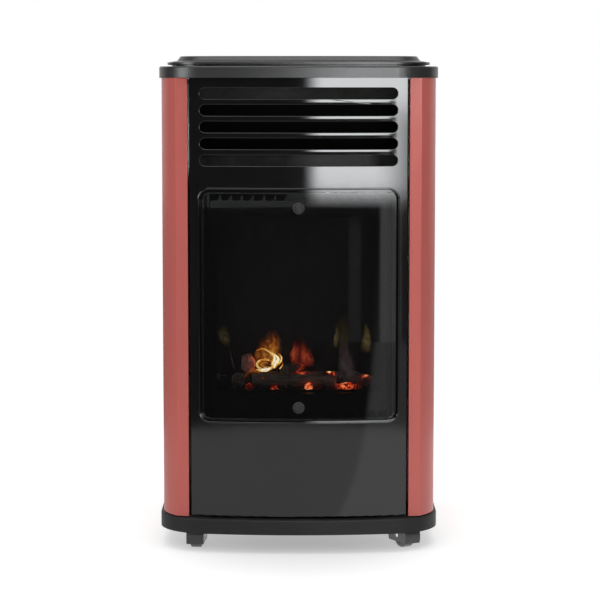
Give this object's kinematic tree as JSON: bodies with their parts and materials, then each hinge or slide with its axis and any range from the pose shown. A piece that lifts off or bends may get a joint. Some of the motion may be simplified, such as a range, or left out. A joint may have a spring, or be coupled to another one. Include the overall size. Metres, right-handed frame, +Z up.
{
  "type": "portable gas cabinet heater",
  "caption": "Upright wheeled cabinet heater: bowed dark front with louvre slots and a glazed fire window, coloured side panels, raised top and a lift-off back.",
  "frame": {"origin": "on the floor under the middle of the base", "axes": "+Z up, the window faces -Y, +X to the right seen from the front"},
  "size_m": [0.42, 0.4399, 0.74],
  "materials": {
    "base_plastic": "moulded, fine grain",
    "top_plastic": "moulded, satin gloss",
    "red_paint": "satin powder coat",
    "black_enamel": "gloss enamel",
    "black_steel": "heat-proof matt paint",
    "zinc_steel": "zinc-plated sheet",
    "fixing_steel": "turned, dulled",
    "window_glass": "tempered, smoke tint",
    "gasket_tape": "woven glass tape",
    "fibre": "fibre washer",
    "log_ceramic": "fibre ceramic, charred bark",
    "ember_ceramic": "fibre ceramic, ember colour",
    "brass": "turned",
    "copper_pipe": "drawn tube",
    "white_ceramic": "glazed",
    "lead_rubber": "silicone lead",
    "black_plastic": "moulded",
    "nylon": "moulded nylon",
    "wheel_nylon": "moulded nylon"
  },
  "bodies": {
    "root": {"base_tray": "base_plastic", "floor_plate": "zinc_steel", "right_side_panel": "red_paint", "left_side_panel": "red_paint", "louvre_panel": "black_enamel", "front_panel": "black_enamel", "window_glass": "window_glass", "glass_gasket": "gasket_tape", "glass_fixings": "fixing_steel", "glass_washers": "fibre", "glass_nuts": "zinc_steel", "firebox_shell": "black_steel", "bulkhead": "zinc_steel", "burner": "zinc_steel", "ember_bed": "ember_ceramic", "ember_coals": "ember_ceramic", "front_log": "log_ceramic", "back_log": "log_ceramic", "left_log": "log_ceramic", "right_log": "log_ceramic", "top_log": "log_ceramic", "pilot_bracket": "zinc_steel", "pilot_burner": "brass", "thermocouple": "copper_pipe", "spark_electrode": "white_ceramic", "louvre_deflector": "black_steel", "top_frame": "top_plastic", "top_plate": "top_plastic", "control_tray": "black_plastic", "gas_valve": "zinc_steel", "piezo_igniter": "black_plastic", "control_nuts": "zinc_steel", "hose_nozzle": "brass", "burner_pipe": "copper_pipe", "pilot_pipe": "copper_pipe", "thermocouple_lead": "copper_pipe", "ignition_lead": "lead_rubber", "rear_rail": "zinc_steel", "cover_grommets": "nylon", "caster_sockets": "nylon", "base_screws": "zinc_steel", "top_screws": "zinc_steel", "rail_screws": "zinc_steel"},
    "spindle": {"valve_spindle": "fixing_steel"},
    "knob": {"control_knob": "black_plastic"},
    "button": {"igniter_button": "nylon"},
    "cover": {"rear_cover": "black_steel", "cover_studs": "zinc_steel"},
    "caster_front_left": {"caster_fork_front_left": "base_plastic", "caster_axle_front_left": "fixing_steel"},
    "wheel_front_left": {"caster_wheel_front_left": "wheel_nylon"},
    "caster_front_right": {"caster_fork_front_right": "base_plastic", "caster_axle_front_right": "fixing_steel"},
    "wheel_front_right": {"caster_wheel_front_right": "wheel_nylon"},
    "caster_rear_left": {"caster_fork_rear_left": "base_plastic", "caster_axle_rear_left": "fixing_steel"},
    "wheel_rear_left": {"caster_wheel_rear_left": "wheel_nylon"},
    "caster_rear_right": {"caster_fork_rear_right": "base_plastic", "caster_axle_rear_right": "fixing_steel"},
    "wheel_rear_right": {"caster_wheel_rear_right": "wheel_nylon"}
  },
  "joints": [
    {"name": "knob_turn", "type": "hinge", "parent": "root", "child": "spindle", "pos_m": [0.045, 0.145, 0.7], "axis": [0, 0, 1], "range_deg": [0, 210]},
    {"name": "knob_push", "type": "slide", "parent": "spindle", "child": "knob", "axis": [0, 0, -1], "range_m": [0, 0.003], "stiffness_N_per_m": 600, "springref_m": -0.003},
    {"name": "igniter_press", "type": "slide", "parent": "root", "child": "button", "axis": [0, 0, -1], "range_m": [0, 0.006], "stiffness_N_per_m": 600, "springref_m": -0.003},
    {"name": "cover_lift_off", "type": "slide", "parent": "root", "child": "cover", "axis": [0, 1, 0], "range_m": [0, 0.3]},
    {"name": "swivel_front_left", "type": "hinge", "parent": "root", "child": "caster_front_left", "pos_m": [-0.1535, -0.152, 0.0445], "axis": [0, 0, 1], "continuous": true},
    {"name": "roll_front_left", "type": "hinge", "parent": "caster_front_left", "child": "wheel_front_left", "pos_m": [-0.15448, -0.16597, 0.019], "axis": [0.9976, -0.0698, 0], "continuous": true},
    {"name": "swivel_front_right", "type": "hinge", "parent": "root", "child": "caster_front_right", "pos_m": [0.1535, -0.152, 0.0445], "axis": [0, 0, 1], "continuous": true},
    {"name": "roll_front_right", "type": "hinge", "parent": "caster_front_right", "child": "wheel_front_right", "pos_m": [0.16007, -0.16436, 0.019], "axis": [0.8829, 0.4695, 0], "continuous": true},
    {"name": "swivel_rear_left", "type": "hinge", "parent": "root", "child": "caster_rear_left", "pos_m": [-0.163, 0.17, 0.0445], "axis": [0, 0, 1], "continuous": true},
    {"name": "roll_rear_left", "type": "hinge", "parent": "caster_rear_left", "child": "wheel_rear_left", "pos_m": [-0.16639, 0.15642, 0.019], "axis": [0.9703, -0.2419, 0], "continuous": true},
    {"name": "swivel_rear_right", "type": "hinge", "parent": "root", "child": "caster_rear_right", "pos_m": [0.163, 0.17, 0.0445], "axis": [0, 0, 1], "continuous": true},
    {"name": "roll_rear_right", "type": "hinge", "parent": "caster_rear_right", "child": "wheel_rear_right", "pos_m": [0.16779, 0.15684, 0.019], "axis": [0.9397, 0.342, 0], "continuous": true}
  ]
}
